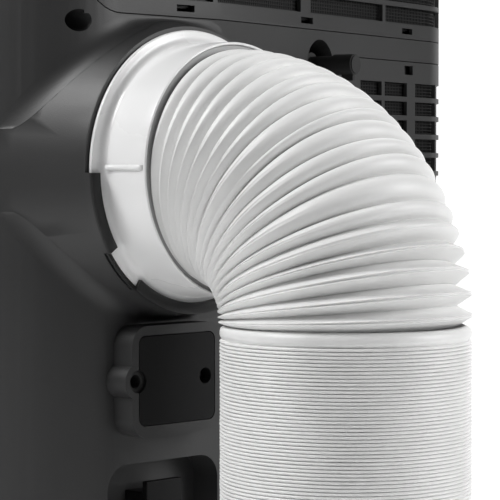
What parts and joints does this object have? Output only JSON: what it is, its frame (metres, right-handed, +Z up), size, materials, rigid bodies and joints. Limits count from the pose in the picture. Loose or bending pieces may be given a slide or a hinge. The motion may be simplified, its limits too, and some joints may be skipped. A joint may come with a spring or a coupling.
{
  "type": "portable air conditioner",
  "caption": "Upright portable air conditioner on casters with a rounded grey casing, rear filter grilles and a pleated exhaust hose turning down from a rear corner.",
  "frame": {"origin": "on the floor under the middle of the whole object's box", "axes": "+Z up, +Y out of the rear face, +X towards the corner that carries the exhaust"},
  "size_m": [0.509, 0.5976, 0.765],
  "materials": {
    "casing": "satin moulded",
    "dark_casing": "satin moulded",
    "black_plastic": "matt",
    "panel_gloss": "gloss",
    "display": "smoked",
    "button": "satin silver",
    "white_plastic": "gloss white",
    "hose_film": "soft sheen",
    "rubber": "matt",
    "steel": "zinc plated",
    "copper": "drawn tube",
    "aluminium": "bare fins",
    "black_metal": "black enamel"
  },
  "bodies": {
    "cabinet": {"base_pan": "dark_casing", "rear_casing": "casing", "front_casing": "casing", "top_cover": "casing", "control_panel": "panel_gloss", "display_window": "display", "outlet_frame": "black_plastic", "swing_motor": "steel", "cord_cover": "dark_casing", "cord_cover_screw": "steel", "cord_gland": "rubber", "cord_hook": "dark_casing", "drain_spout": "black_plastic", "side_handles": "dark_casing", "casing_screws": "steel", "exhaust_duct": "dark_casing", "condenser_housing": "dark_casing", "condenser_coil": "aluminium", "evaporator_housing": "dark_casing", "evaporator_coil": "aluminium", "blower_motors": "steel", "compressor": "black_metal", "compressor_mounts": "rubber", "refrigerant_pipes": "copper", "drain_tray": "dark_casing", "control_box": "steel"},
    "power_button": {"power_button": "button"},
    "mode_button": {"mode_button": "button"},
    "timer_button": {"timer_button": "button"},
    "up_button": {"up_button": "button"},
    "down_button": {"down_button": "button"},
    "louvre_flap": {"louvre_flap": "casing"},
    "vane_1": {"vane_1": "dark_casing"},
    "vane_2": {"vane_2": "dark_casing"},
    "vane_3": {"vane_3": "dark_casing"},
    "vane_4": {"vane_4": "dark_casing"},
    "vane_5": {"vane_5": "dark_casing"},
    "vane_link": {"vane_link": "black_plastic"},
    "upper_filter": {"upper_filter_frame": "casing", "upper_filter_mesh": "black_plastic"},
    "lower_filter": {"lower_filter_frame": "casing", "lower_filter_mesh": "black_plastic"},
    "exhaust_hose": {"exhaust_adaptor": "white_plastic", "hose_elbow": "hose_film", "hose_stack": "hose_film"},
    "hose_end": {"hose_end_cuff": "white_plastic"},
    "drain_plug": {"drain_plug": "rubber"},
    "bottom_drain_cap": {"bottom_drain_cap": "rubber"},
    "caster_fork_1": {"caster_fork_1": "dark_casing"},
    "caster_wheel_1": {"caster_wheel_1": "rubber"},
    "caster_fork_2": {"caster_fork_2": "dark_casing"},
    "caster_wheel_2": {"caster_wheel_2": "rubber"},
    "caster_fork_3": {"caster_fork_3": "dark_casing"},
    "caster_wheel_3": {"caster_wheel_3": "rubber"},
    "caster_fork_4": {"caster_fork_4": "dark_casing"},
    "caster_wheel_4": {"caster_wheel_4": "rubber"},
    "condenser_wheel": {"condenser_wheel": "dark_casing"},
    "evaporator_wheel": {"evaporator_wheel": "dark_casing"},
    "slinger_wheel": {"slinger_wheel": "black_plastic"},
    "float_lever": {"float_lever": "black_plastic"}
  },
  "joints": [
    {"name": "power_press", "type": "slide", "parent": "cabinet", "child": "power_button", "axis": [0, 0, -1], "range_m": [0, 0.0015], "stiffness_N_per_m": 300, "springref_m": -0.0005},
    {"name": "mode_press", "type": "slide", "parent": "cabinet", "child": "mode_button", "axis": [0, 0, -1], "range_m": [0, 0.0015], "stiffness_N_per_m": 300, "springref_m": -0.0005},
    {"name": "timer_press", "type": "slide", "parent": "cabinet", "child": "timer_button", "axis": [0, 0, -1], "range_m": [0, 0.0015], "stiffness_N_per_m": 300, "springref_m": -0.0005},
    {"name": "up_press", "type": "slide", "parent": "cabinet", "child": "up_button", "axis": [0, 0, -1], "range_m": [0, 0.0015], "stiffness_N_per_m": 300, "springref_m": -0.0005},
    {"name": "down_press", "type": "slide", "parent": "cabinet", "child": "down_button", "axis": [0, 0, -1], "range_m": [0, 0.0015], "stiffness_N_per_m": 300, "springref_m": -0.0005},
    {"name": "louvre_swing", "type": "hinge", "parent": "cabinet", "child": "louvre_flap", "pos_m": [-0.00552, -0.29129, 0.5985], "axis": [1, 0, 0], "range_deg": [0, 80]},
    {"name": "vane_1_swing", "type": "hinge", "parent": "cabinet", "child": "vane_1", "pos_m": [-0.12552, -0.26479, 0.635], "axis": [0, 0, 1], "range_deg": [-36, 36]},
    {"name": "vane_2_swing", "type": "hinge", "parent": "cabinet", "child": "vane_2", "pos_m": [-0.06552, -0.26479, 0.635], "axis": [0, 0, 1], "range_deg": [-36, 36]},
    {"name": "vane_3_swing", "type": "hinge", "parent": "cabinet", "child": "vane_3", "pos_m": [-0.00552, -0.26479, 0.635], "axis": [0, 0, 1], "range_deg": [-36, 36]},
    {"name": "vane_4_swing", "type": "hinge", "parent": "cabinet", "child": "vane_4", "pos_m": [0.05448, -0.26479, 0.635], "axis": [0, 0, 1], "range_deg": [-36, 36]},
    {"name": "vane_5_swing", "type": "hinge", "parent": "cabinet", "child": "vane_5", "pos_m": [0.11448, -0.26479, 0.635], "axis": [0, 0, 1], "range_deg": [-36, 36]},
    {"name": "vane_link_slide", "type": "slide", "parent": "cabinet", "child": "vane_link", "axis": [1, 0, 0], "range_m": [-0.00525, 0.00525]},
    {"name": "upper_filter_pull", "type": "slide", "parent": "cabinet", "child": "upper_filter", "axis": [0, 1, 0], "range_m": [0, 0.013]},
    {"name": "lower_filter_pull", "type": "slide", "parent": "cabinet", "child": "lower_filter", "axis": [0, 1, 0], "range_m": [0, 0.06]},
    {"name": "exhaust_lift", "type": "slide", "parent": "cabinet", "child": "exhaust_hose", "axis": [0, 0, 1], "range_m": [0, 0.11]},
    {"name": "hose_stretch", "type": "slide", "parent": "exhaust_hose", "child": "hose_end", "axis": [0, 0, -1], "range_m": [0, 0.1], "deforming": ["hose_stack"]},
    {"name": "drain_plug_pull", "type": "slide", "parent": "cabinet", "child": "drain_plug", "axis": [0, 1, 0], "range_m": [0, 0.035]},
    {"name": "drain_cap_pull", "type": "slide", "parent": "cabinet", "child": "bottom_drain_cap", "axis": [0, 1, 0], "range_m": [0, 0.02]},
    {"name": "caster_1_swivel", "type": "hinge", "parent": "cabinet", "child": "caster_fork_1", "pos_m": [-0.19452, 0.02621, 0.052], "axis": [0, 0, 1], "continuous": true},
    {"name": "caster_1_roll", "type": "hinge", "parent": "caster_fork_1", "child": "caster_wheel_1", "pos_m": [-0.19452, 0.01221, 0.02], "axis": [1, 0, 0], "continuous": true},
    {"name": "caster_2_swivel", "type": "hinge", "parent": "cabinet", "child": "caster_fork_2", "pos_m": [-0.19452, -0.23879, 0.052], "axis": [0, 0, 1], "continuous": true},
    {"name": "caster_2_roll", "type": "hinge", "parent": "caster_fork_2", "child": "caster_wheel_2", "pos_m": [-0.19452, -0.25279, 0.02], "axis": [1, 0, 0], "continuous": true},
    {"name": "caster_3_swivel", "type": "hinge", "parent": "cabinet", "child": "caster_fork_3", "pos_m": [0.18348, 0.02621, 0.052], "axis": [0, 0, 1], "continuous": true},
    {"name": "caster_3_roll", "type": "hinge", "parent": "caster_fork_3", "child": "caster_wheel_3", "pos_m": [0.18348, 0.01221, 0.02], "axis": [1, 0, 0], "continuous": true},
    {"name": "caster_4_swivel", "type": "hinge", "parent": "cabinet", "child": "caster_fork_4", "pos_m": [0.18348, -0.23879, 0.052], "axis": [0, 0, 1], "continuous": true},
    {"name": "caster_4_roll", "type": "hinge", "parent": "caster_fork_4", "child": "caster_wheel_4", "pos_m": [0.18348, -0.25279, 0.02], "axis": [1, 0, 0], "continuous": true},
    {"name": "condenser_fan_spin", "type": "hinge", "parent": "cabinet", "child": "condenser_wheel", "pos_m": [0.10709, -0.01783, 0.302], "axis": [0.1908, 0.9816, 0], "continuous": true},
    {"name": "evaporator_fan_spin", "type": "hinge", "parent": "cabinet", "child": "evaporator_wheel", "pos_m": [-0.00552, -0.13379, 0.594], "axis": [1, 0, 0], "continuous": true},
    {"name": "slinger_spin", "type": "hinge", "parent": "cabinet", "child": "slinger_wheel", "pos_m": [-0.10452, -0.02979, 0.098], "axis": [1, 0, 0], "continuous": true},
    {"name": "float_rise", "type": "hinge", "parent": "cabinet", "child": "float_lever", "pos_m": [-0.00452, 0.02621, 0.086], "axis": [-1, 0, 0], "range_deg": [0, 12]}
  ],
  "couplings": [
    {"joint": "vane_1_swing", "follows": "vane_link_slide", "rad_per_m": -116.28},
    {"joint": "vane_2_swing", "follows": "vane_link_slide", "rad_per_m": -116.28},
    {"joint": "vane_3_swing", "follows": "vane_link_slide", "rad_per_m": -116.28},
    {"joint": "vane_4_swing", "follows": "vane_link_slide", "rad_per_m": -116.28},
    {"joint": "vane_5_swing", "follows": "vane_link_slide", "rad_per_m": -116.28}
  ]
}
